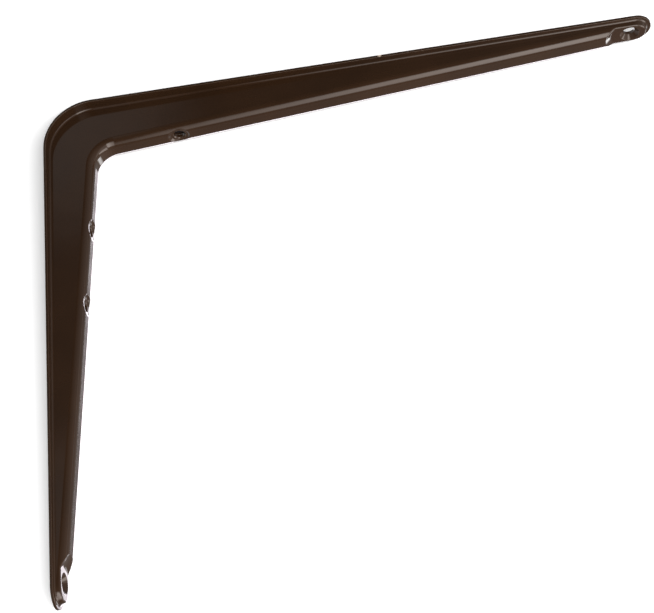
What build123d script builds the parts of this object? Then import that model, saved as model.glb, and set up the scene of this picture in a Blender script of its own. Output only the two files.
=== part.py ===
"""One-piece pressed steel shelf bracket.

A flat flange strip follows the wall plane, turns a round corner and follows the shelf plane. A hollow rib
with a rounded crest is pressed out of it on the room side: deepest at the corner, shallow at both tips.
Near each tip the rib ends in a scooped wall in front of a low raised eye, which carries a dished screw
hole. Further screw holes sit in flat seats sunk into the crest.

Frame: X = 0 is the wall plane, Z = 0 is the shelf plane, and the bracket is symmetric about Y = 0. The
shelf arm runs along +X and the wall arm hangs along -Z. A depth is measured away from the plane that an
arm lies on.
"""
from build123d import *
from math import cos, hypot, radians, sqrt, tan
import os

# Arms, each measured from the other arm's mounting plane to its own tip
shelf_arm = 300.0
wall_arm = 250.0

# Sheet and the bends between flange and rib
sheet = 1.2
corner_radius = 24.0
flange_bend = 1.0

# Flange strip, widest at the corner
flange_width_root = 25.0
flange_width_tip = 17.0

# Rib, outside sizes, with its depth at the corner and where the crest line reaches a tip
rib_width = 12.4
rib_depth_root = 26.0
rib_depth_tip = 5.0
crest_radius = 3.8
inner_corner_radius = 11.0

# Eyes at the tips, and the scooped wall that ends the rib behind each
eye_depth = 3.9
eye_edge_radius = 0.8
wall_scoop_radius = 7.4
wall_scoop_slope = 34.0
shelf_scoop_radius = 9.2
shelf_scoop_slope = 42.0
scoop_blend = 1.2

# Screw holes, and the dishes pressed round them
hole_diameter = 5.4
dish_slope = 45.0
eye_dish_diameter = 9.4
seat_dish_diameter = 6.4
tip_hole_inset = 10.8

# Seats of the holes in the crest, sunk below it and square to their screws
seat_radius = 4.3
seat_sink = 0.9
seat_slope = 45.0
seat_blend = 0.5
seat_rim_radius = 0.6
wall_hole_distances = (68.0, 108.0)
shelf_hole_distances = (65.0,)

# How far a cutting shape runs past the surface that it opens
overcut = 2.0

# How far a point may lie from a surface and still count as on it
touch = 0.01


def crest_depth(distance, arm):
    """Depth of the rib's outer crest line at a distance along an arm."""
    return rib_depth_root + (rib_depth_tip - rib_depth_root) * distance / arm


def arm_plane(arm_name, distance):
    """Plane on an arm's mounting plane: its Z axis points to the room side, its X axis to the tip."""
    if arm_name == "shelf":
        return Plane(origin=(distance, 0, 0), x_dir=(1, 0, 0), z_dir=(0, 0, -1))
    return Plane(origin=(0, 0, -distance), x_dir=(0, 0, -1), z_dir=(1, 0, 0))


def crest_run(arm, inset):
    """Start and end depth of an arm's crest line, moved towards the mounting plane by an inset."""
    slope = (rib_depth_root - rib_depth_tip) / arm
    drop = inset * sqrt(1 + slope * slope)
    return rib_depth_root - drop, rib_depth_tip - drop


def inner_corner(inset):
    """Where the two arms' crest lines cross: its X and how far it lies under the shelf plane."""
    wall_root, wall_tip = crest_run(wall_arm, inset)
    shelf_root, shelf_tip = crest_run(shelf_arm, inset)
    wall_slope = (wall_root - wall_tip) / wall_arm
    shelf_slope = (shelf_root - shelf_tip) / shelf_arm
    x = (wall_root - wall_slope * shelf_root) / (1 - wall_slope * shelf_slope)
    return x, shelf_root - shelf_slope * x


def tapered_outline(root_width, tip_width, arm):
    """Plan of an arm as a closed sketch: straight edges that narrow towards a half-round tip."""
    tip_centre = arm - flange_width_tip / 2
    root = root_width / 2
    tip = tip_width / 2
    margin = 2 * overcut
    near_side = [(tip_centre, -tip), (0, -root), (-margin, -root)]
    far_side = [(-margin, root), (0, root), (tip_centre, tip)]
    with BuildSketch() as outline:
        with BuildLine():
            Polyline(*near_side, *far_side)
            ThreePointArc((tip_centre, tip), (tip_centre + tip, 0), (tip_centre, -tip))
        make_face()
    return outline.sketch


def both_arm_outlines(root_width, tip_width):
    """The shelf arm's outline lying in XY and the wall arm's standing in YZ, each on its mounting plane."""
    shelf = arm_plane("shelf", 0) * tapered_outline(root_width, tip_width, shelf_arm)
    wall = arm_plane("wall", 0) * tapered_outline(root_width, tip_width, wall_arm)
    return shelf, wall


def flange_strip():
    """Flat strip along the wall and the shelf, with the round corner between them."""
    shelf_outline, wall_outline = both_arm_outlines(flange_width_root, flange_width_tip)
    with BuildPart() as strip:
        with BuildSketch(Plane.XZ) as side:
            with BuildLine():
                Polyline(
                    (0, 0),
                    (shelf_arm, 0),
                    (shelf_arm, -sheet),
                    (sheet, -sheet),
                    (sheet, -wall_arm),
                    (0, -wall_arm),
                    close=True,
                )
            make_face()
            fillet(side.vertices().sort_by_distance((0, 0))[0], corner_radius)
            fillet(side.vertices().sort_by_distance((sheet, -sheet))[0], corner_radius - sheet)
        extrude(amount=flange_width_root / 2, both=True)
        extrude(shelf_outline, amount=wall_arm, both=True, mode=Mode.INTERSECT)
        extrude(wall_outline, amount=shelf_arm, both=True, mode=Mode.INTERSECT)
    return strip.part


def dished_tool(plane, floor_radius, floor_depth, slope, blend, inset, reach):
    """Revolved solid that clears everything on the room side of a round floor with sloping walls.

    An inset moves the floor towards the mounting plane and the walls outwards, to the sheet's other face.
    """
    radius = floor_radius + inset * tan(radians(slope / 2))
    depth = floor_depth - inset
    rise = reach - depth
    profile_plane = Plane(origin=plane.origin, x_dir=plane.x_dir, z_dir=-plane.y_dir)
    with BuildPart() as tool:
        with BuildSketch(profile_plane) as half:
            with BuildLine():
                top_radius = radius + rise / tan(radians(slope))
                Polyline((0, depth), (radius, depth), (top_radius, reach), (0, reach), close=True)
            make_face()
            fillet(half.vertices().sort_by_distance((radius, depth))[0], blend + inset)
        revolve(axis=Axis(plane.origin, plane.z_dir))
    return tool.part


def dish_cone(plane, floor, lip_radius, inset):
    """Cone of the dish round a screw hole, from its lip on the floor down to its point."""
    slope = radians(dish_slope)
    radius = lip_radius + inset * tan(slope / 2)
    depth = floor - inset
    profile_plane = Plane(origin=plane.origin, x_dir=plane.x_dir, z_dir=-plane.y_dir)
    with BuildPart() as cone:
        with BuildSketch(profile_plane):
            with BuildLine():
                Polyline((0, depth - radius * tan(slope)), (radius, depth), (0, depth), close=True)
            make_face()
        revolve(axis=Axis(plane.origin, plane.z_dir))
    return cone.part


def scoop_tool(plane, radius, slope, inset, reach):
    """Clears the rib round a tip's screw hole, and from there past the tip, down to the eye's face."""
    floor = eye_depth - inset
    with BuildPart() as tool:
        add(dished_tool(plane, radius, eye_depth, slope, scoop_blend, inset, reach))
        with BuildSketch(plane.offset(floor)):
            Rectangle(tip_hole_inset + overcut, rib_width + 2 * overcut, align=(Align.MIN, Align.CENTER))
        extrude(amount=reach - floor)
    return tool.part


def seat_holes():
    """The holes in the crest: for each its plane on the mounting plane and its seat's depth."""
    wall = [(arm_plane("wall", s), crest_depth(s, wall_arm) - seat_sink) for s in wall_hole_distances]
    shelf = [(arm_plane("shelf", s), crest_depth(s, shelf_arm) - seat_sink) for s in shelf_hole_distances]
    return wall + shelf


def tip_holes():
    """The holes in the eyes: for each its plane on the mounting plane and its scoop's radius and slope."""
    wall_plane = arm_plane("wall", wall_arm - tip_hole_inset)
    shelf_plane = arm_plane("shelf", shelf_arm - tip_hole_inset)
    return [
        (wall_plane, wall_scoop_radius, wall_scoop_slope),
        (shelf_plane, shelf_scoop_radius, shelf_scoop_slope),
    ]


def rim_edges(edges, plane, floor, radius, slope, blend, reach):
    """Of the edges that a round cut left, those where it meets the rib's skin."""
    wall_foot = floor + blend * (1 - cos(radians(slope)))
    footprint = radius + (reach - floor) / tan(radians(slope))
    found = []
    for edge in edges:
        spots = [plane.to_local_coords(edge @ share) for share in (0.0, 0.5, 1.0)]
        radii = [hypot(spot.X, spot.Y) for spot in spots]
        depths = [spot.Z for spot in spots]
        ring = max(radii) - min(radii) < touch and max(depths) < wall_foot + touch
        seam = max(abs(spot.Y) for spot in spots) < touch
        if max(radii) < footprint and min(depths) > floor - touch and not ring and not seam:
            found.append(edge)
    return found


def rib_solid(inset):
    """The rib as a full solid, at an inset from its outer skin, with its eyes, scoops and seats formed."""
    half = rib_width / 2 - inset
    back = overcut if inset else 0
    corner_x, corner_drop = inner_corner(inset)
    wall_root, wall_tip = crest_run(wall_arm, inset)
    shelf_root, shelf_tip = crest_run(shelf_arm, inset)
    reach = rib_depth_root + overcut
    with BuildPart() as rib:
        with BuildSketch(Plane.XZ) as side:
            with BuildLine():
                Polyline(
                    (-back, back),
                    (shelf_arm, back),
                    (shelf_arm, -shelf_tip),
                    (corner_x, -corner_drop),
                    (wall_tip, -wall_arm),
                    (-back, -wall_arm),
                    close=True,
                )
            make_face()
            fillet(side.vertices().sort_by_distance((corner_x, -corner_drop))[0], inner_corner_radius + inset)
        extrude(amount=half, both=True)
        shelf_outline, wall_outline = both_arm_outlines(2 * half, 2 * half)
        extrude(shelf_outline, amount=wall_arm, both=True, mode=Mode.INTERSECT)
        extrude(wall_outline, amount=shelf_arm, both=True, mode=Mode.INTERSECT)
        shallowest = min(shelf_tip, wall_tip) - touch
        crest_edges = [
            edge
            for edge in rib.edges().filter_by(Axis.Y, reverse=True)
            if min(min(vertex.X, -vertex.Z) for vertex in edge.vertices()) > shallowest
        ]
        fillet(crest_edges, crest_radius - inset)
        if not inset:
            fillet(rib.edges().filter_by(Axis.Y).sort_by_distance((0, 0, 0))[0], corner_radius)
        for plane, radius, slope in tip_holes():
            add(scoop_tool(plane, radius, slope, inset, reach), mode=Mode.SUBTRACT)
            if not inset:
                cut = rib.edges(Select.LAST)
                rims = rim_edges(cut, plane, eye_depth, radius, slope, scoop_blend, reach)
                fillet(rims, eye_edge_radius)
            add(dish_cone(plane, eye_depth, eye_dish_diameter / 2, inset), mode=Mode.SUBTRACT)
        for plane, floor in seat_holes():
            seat = dished_tool(plane, seat_radius, floor, seat_slope, seat_blend, inset, reach)
            add(seat, mode=Mode.SUBTRACT)
            if not inset:
                cut = rib.edges(Select.LAST)
                rims = rim_edges(cut, plane, floor, seat_radius, seat_slope, seat_blend, reach)
                fillet(rims, seat_rim_radius)
            add(dish_cone(plane, floor, seat_dish_diameter / 2, inset), mode=Mode.SUBTRACT)
    return rib.part


def depth_below_flange(spot):
    """How far a point lies on the room side of the bracket's back, round corner included."""
    across, down = spot.X, -spot.Z
    if across < corner_radius and down < corner_radius:
        return corner_radius - hypot(corner_radius - across, corner_radius - down)
    return min(across, down)


def bend_edges(solid, half, depth):
    """Edges that lie at a depth behind the bracket's back and no further out than a half width."""
    found = []
    for edge in solid.edges():
        spots = [edge @ share for share in (0.0, 0.5, 1.0)]
        level = all(abs(depth_below_flange(spot) - depth) < 2 * touch for spot in spots)
        inside = all(abs(spot.Y) < half + 2 * touch for spot in spots)
        if level and inside:
            found.append(edge)
    return found


rib_form = rib_solid(0)
channel_form = rib_solid(sheet)
flange_form = flange_strip()
screw_planes = [(hole[0], eye_depth) for hole in tip_holes()] + seat_holes()

with BuildPart() as bracket:
    add(flange_form)
    add(rib_form)
    add(channel_form, mode=Mode.SUBTRACT)
    fillet(bend_edges(bracket.part, rib_width / 2, sheet), flange_bend)
    fillet(bend_edges(bracket.part, rib_width / 2 - sheet, 0), flange_bend + sheet)
    for plane, floor in screw_planes:
        with BuildSketch(plane.offset(-overcut)):
            Circle(hole_diameter / 2)
        extrude(amount=floor + 2 * overcut, mode=Mode.SUBTRACT)

bracket.part.label = "bracket"
os.makedirs("parts", exist_ok=True)
export_step(bracket.part, "parts/bracket.step")
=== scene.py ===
"""Looks of the pressed steel shelf bracket: enamel, the white ground behind it, studio light and camera."""

import bpy
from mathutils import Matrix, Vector


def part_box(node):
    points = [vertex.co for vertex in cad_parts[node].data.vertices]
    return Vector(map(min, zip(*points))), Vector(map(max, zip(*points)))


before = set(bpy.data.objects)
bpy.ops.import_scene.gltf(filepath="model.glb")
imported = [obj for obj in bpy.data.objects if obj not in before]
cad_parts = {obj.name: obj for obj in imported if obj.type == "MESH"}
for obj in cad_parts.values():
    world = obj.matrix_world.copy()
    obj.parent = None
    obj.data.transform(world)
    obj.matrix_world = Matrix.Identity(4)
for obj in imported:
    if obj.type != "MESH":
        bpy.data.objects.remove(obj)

bl_info = {
    "name": "Pressed Shelf Bracket",
    "version": (1, 0, 0),
    "blender": (4, 5, 0),
    "location": "View3D > Sidebar > Bracket",
    "description": "Paints a pressed steel shelf bracket and sets its stage",
    "category": "Object",
}

BRACKET = "bracket"
WHITE = (1.0, 1.0, 1.0)

# Enamel
# Cosine between the skin and its rounded copy where an edge starts to show, and where it shows in full
EDGE_COSINES = (0.99, 0.88)
BEVEL_SAMPLES = 6
# Radius of a grain of grit, as a share of its cell
GRAIN_REACH = 0.035
# Noise levels between which the pigment goes from dark to light, and detail of the two slow noises
TONE_RANGE = (0.3, 0.7)
TONE_DETAIL, WAVE_DETAIL = 3.0, 1.0
# Cells in each metre of the noise that frays the chip, and where its rim starts and ends, in radii
RAGGED_SCALE = 1400.0
CHIP_RIM = (1.6, 1.3)
# Roughness that the peel, an edge and the chip add
PEEL_DULLS, EDGE_DULLS, CHIP_DULLS = 0.06, 0.05, 0.3

# Floor
# Half its side, and the distances from the origin where it starts to whiten and where it is pure white
FLOOR_REACH = 3.0
FLOOR_WHITENS = (0.27, 0.4)

# World
# Each pair gives the two values between which a light rises or fades, so its rims are soft.
# Light on the hidden side: cosine to its middle
REAR_SPREAD = (0.2, 1.0)
# Patch up to the left: X and Y of a direction, then the Z of both rims of a darker band, and how dark that is
PATCH_X, PATCH_Y = (-0.12, -0.19), (0.0, -0.3)
BAND_LOWER, BAND_UPPER, BAND_DARK = (0.36, 0.42), (0.50, 0.56), 0.9
# A direction's X or Y is taken over at least this much of its -Z, and its X over at least this much of its Y
LEAST_SLOPE = 0.05
# Panel below: X over -Z between which it grows brighter, and its strength before that
PANEL_GROWS, PANEL_LEAST = (-0.12, 0.27), 0.5
# Its rims in X over -Z, the share of it that is left beyond the right rim, and its rims in Y over -Z
PANEL_LEFT, PANEL_RIGHT, PANEL_BEYOND = (-0.13, -0.08), (0.40, 0.50), 0.15
PANEL_FRONT, PANEL_BACK = (-1.9, -0.8), (-0.05, 0.4)
# Panel down to the right: its rims in X and in Y over -Z, and in Z
SIDE_LEFT, SIDE_RIGHT = (0.45, 0.6), (2.6, 2.0)
SIDE_FRONT, SIDE_BACK, SIDE_TOP = (-0.2, 0.05), (0.9, 0.6), (-0.1, -0.25)
# Panel behind: how its right rim leans with Z, its rims in X over Y, and its rims in Z and in Y
SCREEN_LEANS, SCREEN_RIGHT, SCREEN_LEFT = -0.26, (0.205, 0.255), (-1.0, -0.8)
SCREEN_FOOT, SCREEN_DEPTH = (0.05, 0.2), (0.2, 0.3)
# Small round light: cosine to its middle, and the Z of its cut top
SPOT_COSINES, SPOT_TOP = (0.98, 0.997), (0.2, 0.1)

# Lamp and camera
# The lamp shines square to the floor.
KEY_AIM = (0.0, 1.0, 0.0)
# Nearest distance that the camera sees, in metres
NEAR_CLIP = 0.01

# Places of the colours among the sockets of a Mix node, whose names repeat
MIX_FIRST, MIX_SECOND, MIX_RESULT = 6, 7, 2


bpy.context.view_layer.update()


def emptied(tree, output_type):
    """A node tree cleared of its default nodes, with a new output node."""
    tree.nodes.clear()
    return tree.nodes.new(output_type)


def feed(tree, socket, value):
    """Link an output to a socket, or write a plain value on it."""
    if isinstance(value, bpy.types.NodeSocket):
        tree.links.new(value, socket)
    else:
        socket.default_value = value


def maths(tree, operation, *values):
    """Result of a Math node on sockets or numbers."""
    node = tree.nodes.new("ShaderNodeMath")
    node.operation = operation
    for socket, value in zip(node.inputs, values):
        feed(tree, socket, value)
    return node.outputs["Value"]


def ramp(tree, value, span, low=0.0, high=1.0, smooth=True):
    """A value led from low to high while it goes over a span, held outside it."""
    node = tree.nodes.new("ShaderNodeMapRange")
    node.interpolation_type = "SMOOTHSTEP" if smooth else "LINEAR"
    feed(tree, node.inputs["Value"], value)
    for name, number in zip(("From Min", "From Max", "To Min", "To Max"), (*span, low, high)):
        node.inputs[name].default_value = number
    return node.outputs["Result"]


def chain(tree, operation, *values):
    """One operation on several outputs in turn, such as their sum or product."""
    result = values[0]
    for value in values[1:]:
        result = maths(tree, operation, result, value)
    return result


def vector(tree, operation, *values):
    """Number that a Vector Math node gives for vectors."""
    node = tree.nodes.new("ShaderNodeVectorMath")
    node.operation = operation
    for socket, value in zip(node.inputs, values):
        feed(tree, socket, value)
    return node.outputs["Value"]


def shaders(tree, node_type, first, second, factor=None):
    """Two shaders added, or mixed by a factor."""
    node = tree.nodes.new(node_type)
    if factor is not None:
        tree.links.new(factor, node.inputs["Fac"])
    tree.links.new(first, node.inputs[-2])
    tree.links.new(second, node.inputs[-1])
    return node.outputs["Shader"]


def blend(tree, factor, first, second):
    """Colour between two colours."""
    node = tree.nodes.new("ShaderNodeMix")
    node.data_type = "RGBA"
    feed(tree, node.inputs["Factor"], factor)
    feed(tree, node.inputs[MIX_FIRST], first)
    feed(tree, node.inputs[MIX_SECOND], second)
    return node.outputs[MIX_RESULT]


def noise(tree, place, scale, detail=2.0):
    """Noise in 0 to 1 on a place, with so many cells in each metre."""
    node = tree.nodes.new("ShaderNodeTexNoise")
    for name, value in (("Vector", place), ("Scale", scale), ("Detail", detail)):
        feed(tree, node.inputs[name], value)
    return node.outputs["Fac"]


def enamel_material(settings):
    """Glossy dark enamel sprayed on sheet steel.

    Height: fine peel of the spray + slow waves of the pressed sheet + grit under the paint.
    Colour: pigment that varies slowly, lighter on an edge partly for thinner paint and partly as a painted
    highlight along the rounded edge, and one chip down to pale metal on the shelf flange's near edge.
    """
    material = bpy.data.materials.new("brown_enamel")
    material.use_nodes = True
    tree = material.node_tree
    output = emptied(tree, "ShaderNodeOutputMaterial")
    nodes, links = tree.nodes, tree.links
    place = nodes.new("ShaderNodeTexCoord").outputs["Object"]

    rounded = nodes.new("ShaderNodeBevel")
    rounded.samples = BEVEL_SAMPLES
    rounded.inputs["Radius"].default_value = settings.edge_radius
    skin = nodes.new("ShaderNodeNewGeometry").outputs["Normal"]
    edge = ramp(tree, vector(tree, "DOT_PRODUCT", rounded.outputs["Normal"], skin), EDGE_COSINES)

    peel = noise(tree, place, settings.peel_scale)
    wave = noise(tree, place, settings.wave_scale, WAVE_DETAIL)
    grit = nodes.new("ShaderNodeTexVoronoi")
    grit.inputs["Scale"].default_value = settings.grit_scale
    links.new(place, grit.inputs["Vector"])
    grain = ramp(tree, grit.outputs["Distance"], (GRAIN_REACH, 0.0))

    normal = rounded.outputs["Normal"]
    for height, distance in (
        (wave, settings.wave_height), (peel, settings.peel_height), (grain, settings.grit_height)
    ):
        bump = nodes.new("ShaderNodeBump")
        bump.inputs["Distance"].default_value = distance
        links.new(height, bump.inputs["Height"])
        links.new(normal, bump.inputs["Normal"])
        normal = bump.outputs["Normal"]

    away = vector(tree, "DISTANCE", place, settings.chip_place)
    ragged = maths(tree, "MULTIPLY_ADD", noise(tree, place, RAGGED_SCALE), settings.chip_radius, away)
    chip = ramp(tree, ragged, [share * settings.chip_radius for share in CHIP_RIM])

    shade = ramp(tree, noise(tree, place, settings.tone_scale, TONE_DETAIL), TONE_RANGE)
    dark = tuple(value * (1 - settings.tone_change) for value in settings.colour)
    light = tuple(value * (1 + settings.tone_change) for value in settings.colour)
    pigment = blend(tree, shade, (*dark, 1.0), (*light, 1.0))
    # Lighter edges: partly thinner paint, partly a painted highlight along each rounded edge.
    thin_and_highlight = maths(tree, "MULTIPLY", edge, settings.edge_thinning_and_highlight)
    colour = blend(tree, thin_and_highlight, pigment, (*settings.edge_wear_and_highlight_colour, 1.0))
    colour = blend(tree, chip, colour, (*settings.chip_colour, 1.0))
    dull = settings.roughness - PEEL_DULLS / 2
    for mask, more in ((peel, PEEL_DULLS), (edge, EDGE_DULLS), (chip, CHIP_DULLS)):
        dull = maths(tree, "MULTIPLY_ADD", mask, more, dull)

    shader = nodes.new("ShaderNodeBsdfPrincipled")
    shader.inputs["IOR"].default_value = settings.gloss_ior
    links.new(colour, shader.inputs["Base Color"])
    links.new(dull, shader.inputs["Roughness"])
    links.new(normal, shader.inputs["Normal"])
    links.new(shader.outputs["BSDF"], output.inputs["Surface"])
    return material


def floor_material(settings):
    """Matt pale floor that keeps the bracket's shadow, white where it is lit, see-through from behind."""
    material = bpy.data.materials.new("pale_floor")
    material.use_nodes = True
    tree = material.node_tree
    output = emptied(tree, "ShaderNodeOutputMaterial")
    nodes, links = tree.nodes, tree.links
    matt = nodes.new("ShaderNodeBsdfDiffuse")
    matt.inputs["Color"].default_value = (*settings.floor_colour, 1.0)
    seen = nodes.new("ShaderNodeLightPath").outputs["Is Camera Ray"]
    reach = vector(tree, "LENGTH", nodes.new("ShaderNodeTexCoord").outputs["Object"])
    glow = nodes.new("ShaderNodeEmission")
    strength = maths(tree, "MULTIPLY", seen, ramp(tree, reach, FLOOR_WHITENS, settings.floor_glow, 1.0))
    links.new(strength, glow.inputs["Strength"])
    lit = shaders(tree, "ShaderNodeAddShader", matt.outputs["BSDF"], glow.outputs["Emission"])
    clear = nodes.new("ShaderNodeBsdfTransparent").outputs["BSDF"]
    behind = nodes.new("ShaderNodeNewGeometry").outputs["Backfacing"]
    links.new(shaders(tree, "ShaderNodeMixShader", lit, clear, behind), output.inputs["Surface"])
    return material


def soft_light(tree, direction, rear, settings):
    """Light on matt paint: from the right, behind and below, with a weaker one for the hidden side."""
    from_side = vector(tree, "DOT_PRODUCT", direction, settings.soft_side)
    level = maths(tree, "ADD", from_side, settings.soft_level)
    return maths(tree, "ADD", maths(tree, "MAXIMUM", level, settings.soft_least), rear)


def room_light(tree, x, y, z, rear, settings):
    """What gloss sees of the room: dim, lighter right and behind, and a faint banded patch up to the left."""
    right = maths(tree, "MULTIPLY", maths(tree, "MAXIMUM", x, 0.0), settings.room_right)
    behind = maths(tree, "MULTIPLY", maths(tree, "MAXIMUM", y, 0.0), settings.room_behind)
    room = chain(tree, "ADD", right, behind, maths(tree, "ADD", rear, settings.room_dark))
    band = maths(tree, "SUBTRACT", ramp(tree, z, BAND_LOWER), ramp(tree, z, BAND_UPPER))
    level = settings.patch_level
    patch = chain(
        tree, "MULTIPLY", ramp(tree, x, PATCH_X), ramp(tree, y, PATCH_Y),
        maths(tree, "MULTIPLY_ADD", band, -BAND_DARK * level, level),
    )
    return maths(tree, "ADD", room, patch)


def lower_panels(tree, x, y, z, settings):
    """What gloss sees below: a panel that grows brighter to its right end, and one down to the right."""
    depth = maths(tree, "MAXIMUM", maths(tree, "MULTIPLY", z, -1.0), LEAST_SLOPE)
    across, along = maths(tree, "DIVIDE", x, depth), maths(tree, "DIVIDE", y, depth)
    panel = chain(
        tree, "MULTIPLY", ramp(tree, across, PANEL_GROWS, PANEL_LEAST, settings.panel_level, smooth=False),
        ramp(tree, across, PANEL_LEFT), ramp(tree, across, PANEL_RIGHT, 1.0, PANEL_BEYOND),
        ramp(tree, along, PANEL_FRONT), ramp(tree, along, PANEL_BACK, 1.0, 0.0),
    )
    side = chain(
        tree, "MULTIPLY",
        ramp(tree, across, SIDE_LEFT, 0.0, settings.side_level), ramp(tree, across, SIDE_RIGHT),
        ramp(tree, along, SIDE_FRONT), ramp(tree, along, SIDE_BACK), ramp(tree, z, SIDE_TOP),
    )
    return maths(tree, "ADD", panel, side)


def screen_panel(tree, x, y, z, settings):
    """What gloss sees behind the bracket: a panel with a leaning right edge."""
    slant = maths(tree, "DIVIDE", x, maths(tree, "MAXIMUM", y, LEAST_SLOPE))
    edge = maths(tree, "MULTIPLY_ADD", z, SCREEN_LEANS, slant)
    return chain(
        tree, "MULTIPLY", ramp(tree, edge, SCREEN_RIGHT, settings.screen_level, 0.0),
        ramp(tree, slant, SCREEN_LEFT), ramp(tree, z, SCREEN_FOOT), ramp(tree, y, SCREEN_DEPTH),
    )


def studio_world(settings):
    """White to the camera, a soft light to matt paint, and a studio of panels to its gloss."""
    world = bpy.data.worlds.new("studio")
    world.use_nodes = True
    tree = world.node_tree
    output = emptied(tree, "ShaderNodeOutputWorld")
    nodes, links = tree.nodes, tree.links
    direction = nodes.new("ShaderNodeTexCoord").outputs["Generated"]
    parts = nodes.new("ShaderNodeSeparateXYZ")
    links.new(direction, parts.inputs["Vector"])
    x, y, z = parts.outputs
    from_rear = vector(tree, "DOT_PRODUCT", direction, settings.rear_side)
    rear = ramp(tree, from_rear, REAR_SPREAD, 0.0, settings.rear_level, smooth=False)
    from_spot = vector(tree, "DOT_PRODUCT", direction, settings.spot_side)
    spot = chain(
        tree, "MULTIPLY",
        ramp(tree, from_spot, SPOT_COSINES, 0.0, settings.spot_level), ramp(tree, z, SPOT_TOP),
    )

    def glow(colour, strength):
        node = nodes.new("ShaderNodeBackground")
        node.inputs["Color"].default_value = (*colour, 1.0)
        feed(tree, node.inputs["Strength"], strength)
        return node.outputs["Background"]

    plain = glow(WHITE, maths(tree, "ADD", room_light(tree, x, y, z, rear, settings), spot))
    panels = shaders(
        tree, "ShaderNodeAddShader",
        glow(settings.panel_colour, lower_panels(tree, x, y, z, settings)),
        glow(settings.screen_colour, screen_panel(tree, x, y, z, settings)),
    )
    studio = shaders(tree, "ShaderNodeAddShader", plain, panels)
    soft = glow(WHITE, soft_light(tree, direction, rear, settings))
    path = nodes.new("ShaderNodeLightPath").outputs
    lit = shaders(tree, "ShaderNodeMixShader", soft, studio, path["Is Glossy Ray"])
    shown = shaders(tree, "ShaderNodeMixShader", lit, glow(WHITE, 1.0), path["Is Camera Ray"])
    links.new(shown, output.inputs["Surface"])
    return world


class BracketPaint(bpy.types.PropertyGroup):
    """Colour and surface of the enamel."""

    colour: bpy.props.FloatVectorProperty(
        name="Colour", description="Pigment of the enamel", subtype="COLOR", size=3, min=0, max=1,
        default=(0.0258, 0.0119, 0.0054),
    )
    tone_change: bpy.props.FloatProperty(
        name="Tone change", description="How far the pigment varies over the surface", min=0, max=1,
        default=0.1,
    )
    tone_scale: bpy.props.FloatProperty(
        name="Tone scale", description="Cells of the pigment's variation in each metre", default=30.0
    )
    roughness: bpy.props.FloatProperty(
        name="Roughness", description="How blurred reflections are", min=0, max=1, default=0.08
    )
    gloss_ior: bpy.props.FloatProperty(
        name="Gloss", description="Refractive index of the enamel", min=1, max=3, default=1.5
    )
    peel_scale: bpy.props.FloatProperty(
        name="Peel scale", description="Cells of the spray's peel in each metre", default=450.0
    )
    peel_height: bpy.props.FloatProperty(
        name="Peel height", description="Height of the spray's peel", unit="LENGTH", default=0.000008
    )
    wave_scale: bpy.props.FloatProperty(
        name="Wave scale", description="Waves of the pressed sheet in each metre", default=40.0
    )
    wave_height: bpy.props.FloatProperty(
        name="Wave height", description="Height of the pressed sheet's waves", unit="LENGTH", default=0.00008
    )
    grit_scale: bpy.props.FloatProperty(
        name="Grit scale", description="Cells of grit under the paint in each metre", default=110.0
    )
    grit_height: bpy.props.FloatProperty(
        name="Grit height", description="Height of grit under the paint", unit="LENGTH", default=0.00003
    )
    edge_radius: bpy.props.FloatProperty(
        name="Edge radius", description="Radius that the paint takes over a sharp edge", unit="LENGTH",
        default=0.0004,
    )
    # Edges are lighter partly for thinner paint and partly as a painted highlight along the rounded edge.
    edge_thinning_and_highlight: bpy.props.FloatProperty(
        name="Edge thinning", description="How much lighter the paint is on an edge", min=0, max=1,
        default=0.85,
    )
    edge_wear_and_highlight_colour: bpy.props.FloatVectorProperty(
        name="Edge colour", description="Colour of thin paint on an edge", subtype="COLOR", size=3,
        min=0, max=1, default=(0.08, 0.052, 0.036),
    )
    chip_place: bpy.props.FloatVectorProperty(
        name="Chip place", description="Centre of the chip in the paint", subtype="TRANSLATION", size=3,
        default=(0.1677, -0.0102, 0.0),
    )
    chip_radius: bpy.props.FloatProperty(
        name="Chip radius", description="Radius of the chip in the paint", unit="LENGTH", default=0.001
    )
    chip_colour: bpy.props.FloatVectorProperty(
        name="Chip colour", description="Metal that the chip shows", subtype="COLOR", size=3, min=0, max=1,
        default=(0.62, 0.5, 0.4),
    )


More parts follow.
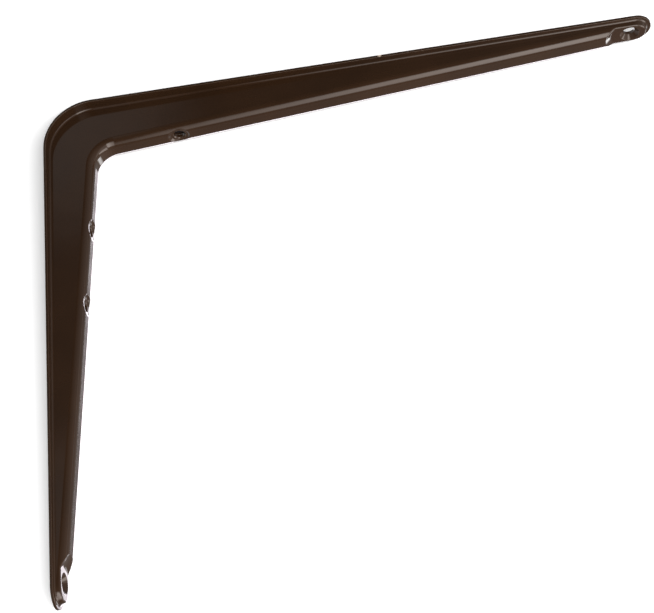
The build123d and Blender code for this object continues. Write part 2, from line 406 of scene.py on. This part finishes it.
class BracketStage(bpy.types.PropertyGroup):
    """Floor, light and camera."""

    floor_colour: bpy.props.FloatVectorProperty(
        name="Floor colour", description="Colour of the floor", subtype="COLOR", size=3, min=0, max=1,
        default=(0.9, 0.9, 0.9),
    )
    floor_glow: bpy.props.FloatProperty(
        name="Floor glow", description="White that the floor adds for the camera", min=0, default=0.33
    )
    floor_gap: bpy.props.FloatProperty(
        name="Floor gap", description="Distance from the bracket's side to the floor", unit="LENGTH",
        default=0.0005,
    )
    soft_level: bpy.props.FloatProperty(
        name="Soft light", description="Middle strength of the light on matt paint", min=0, default=0.62
    )
    soft_side: bpy.props.FloatVectorProperty(
        name="Soft side", description="Where the light on matt paint is stronger", subtype="XYZ", size=3,
        default=(1.25, 1.2, -1.12),
    )
    soft_least: bpy.props.FloatProperty(
        name="Soft least", description="Least strength of the light on matt paint", min=0, default=0.03
    )
    rear_level: bpy.props.FloatProperty(
        name="Rear light", description="Strength of the light on the hidden side", min=0, default=1.0
    )
    rear_side: bpy.props.FloatVectorProperty(
        name="Rear side", description="Where the light on the hidden side comes from", subtype="XYZ", size=3,
        default=(-0.81, 0.3, 0.5),
    )
    room_dark: bpy.props.FloatProperty(
        name="Room dark", description="Strength of the reflected room near the camera", min=0, default=0.05
    )
    room_right: bpy.props.FloatProperty(
        name="Room right", description="Strength added to the right", min=0, default=0.36
    )
    room_behind: bpy.props.FloatProperty(
        name="Room behind", description="Strength added behind", min=0, default=0.16
    )
    patch_level: bpy.props.FloatProperty(
        name="Patch", description="Strength of the faint patch up to the left", min=0, default=0.26
    )
    panel_level: bpy.props.FloatProperty(
        name="Panel", description="Greatest strength of the panel below", min=0, default=5.2
    )
    panel_colour: bpy.props.FloatVectorProperty(
        name="Panel colour", description="Colour of the panel below", subtype="COLOR", size=3, min=0, max=1,
        default=(1.0, 0.9, 0.84),
    )
    side_level: bpy.props.FloatProperty(
        name="Side panel", description="Strength of the panel down to the right", min=0, default=3.8
    )
    spot_level: bpy.props.FloatProperty(
        name="Spot", description="Strength of the small round light behind on the right", min=0, default=4.5
    )
    spot_side: bpy.props.FloatVectorProperty(
        name="Spot side", description="Where the small round light is", subtype="XYZ", size=3,
        default=(0.6, 0.798, 0.06),
    )
    screen_level: bpy.props.FloatProperty(
        name="Screen", description="Strength of the panel behind", min=0, default=4.2
    )
    screen_colour: bpy.props.FloatVectorProperty(
        name="Screen colour", description="Colour of the panel behind", subtype="COLOR", size=3, min=0, max=1,
        default=(1.0, 0.93, 1.0),
    )
    key_power: bpy.props.FloatProperty(
        name="Key power", description="Power of the lamp that throws the shadow", unit="POWER", min=0,
        default=21.0,
    )
    key_place: bpy.props.FloatVectorProperty(
        name="Key place", description="Where that lamp is", subtype="TRANSLATION", size=3,
        default=(0.535, -1.2, -0.78),
    )
    key_size: bpy.props.FloatVectorProperty(
        name="Key size", description="Width and height of that lamp", subtype="XYZ", size=2,
        default=(0.47, 0.12),
    )
    camera_place: bpy.props.FloatVectorProperty(
        name="Camera place", description="Where the camera stands", subtype="TRANSLATION", size=3,
        default=(0.169853, -0.561729, -0.425103),
    )
    camera_turn: bpy.props.FloatVectorProperty(
        name="Camera turn", description="How the camera is turned", subtype="EULER", size=3,
        default=(2.059942, 0.101727, 0.129393),
    )
    focal_length: bpy.props.FloatProperty(
        name="Focal length", description="Lens of the camera in millimetres", default=77.4978
    )


class BRACKET_OT_paint(bpy.types.Operator):
    """Give the pressed bracket its enamel"""

    bl_idname = "bracket.paint"
    bl_label = "Paint Bracket"

    def execute(self, context):
        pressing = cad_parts[BRACKET]
        pressing.data.materials.clear()
        pressing.data.materials.append(enamel_material(context.scene.bracket_paint))
        return {"FINISHED"}


class BRACKET_OT_stage(bpy.types.Operator):
    """Set the floor, the light and the camera"""

    bl_idname = "bracket.stage"
    bl_label = "Set Stage"

    def execute(self, context):
        settings = context.scene.bracket_stage
        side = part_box(BRACKET)[1][1] + settings.floor_gap
        corners = [(x * FLOOR_REACH, side, z * FLOOR_REACH) for x, z in ((-1, -1), (1, -1), (1, 1), (-1, 1))]
        mesh = bpy.data.meshes.new("floor")
        mesh.from_pydata(corners, [], [(0, 1, 2, 3)])
        mesh.materials.append(floor_material(settings))
        floor = bpy.data.objects.new("floor", mesh)
        floor.visible_glossy = False
        floor.visible_diffuse = False
        floor.visible_shadow = False
        context.collection.objects.link(floor)

        context.scene.world = studio_world(settings)
        context.scene.view_settings.view_transform = "Standard"

        light = bpy.data.lights.new("key", "AREA")
        light.shape = "RECTANGLE"
        light.size, light.size_y = settings.key_size
        light.energy = settings.key_power
        key = bpy.data.objects.new("key", light)
        key.location = settings.key_place
        key.rotation_euler = Vector(KEY_AIM).to_track_quat("-Z", "Y").to_euler()
        key.visible_glossy = False
        context.collection.objects.link(key)

        lens = bpy.data.cameras.new("camera")
        lens.lens = settings.focal_length
        lens.clip_start = NEAR_CLIP
        camera = bpy.data.objects.new("camera", lens)
        camera.location = settings.camera_place
        camera.rotation_euler = settings.camera_turn
        context.collection.objects.link(camera)
        context.scene.camera = camera
        return {"FINISHED"}


class BRACKET_PT_panel(bpy.types.Panel):
    """Sizes, colours and steps of the bracket's scene"""

    bl_label = "Shelf Bracket"
    bl_idname = "BRACKET_PT_panel"
    bl_space_type = "VIEW_3D"
    bl_region_type = "UI"
    bl_category = "Bracket"

    def draw(self, context):
        for operator, group in ((BRACKET_OT_paint, "bracket_paint"), (BRACKET_OT_stage, "bracket_stage")):
            box = self.layout.box()
            settings = getattr(context.scene, group)
            for name in settings.__annotations__:
                box.prop(settings, name)
            box.operator(operator.bl_idname)


CLASSES = (BracketPaint, BracketStage, BRACKET_OT_paint, BRACKET_OT_stage, BRACKET_PT_panel)


def register():
    for kind in CLASSES:
        bpy.utils.register_class(kind)
    bpy.types.Scene.bracket_paint = bpy.props.PointerProperty(type=BracketPaint)
    bpy.types.Scene.bracket_stage = bpy.props.PointerProperty(type=BracketStage)


def unregister():
    del bpy.types.Scene.bracket_stage
    del bpy.types.Scene.bracket_paint
    for kind in reversed(CLASSES):
        bpy.utils.unregister_class(kind)


def main():
    register()
    bpy.ops.bracket.paint()
    bpy.ops.bracket.stage()


if __name__ == "__main__":
    main()
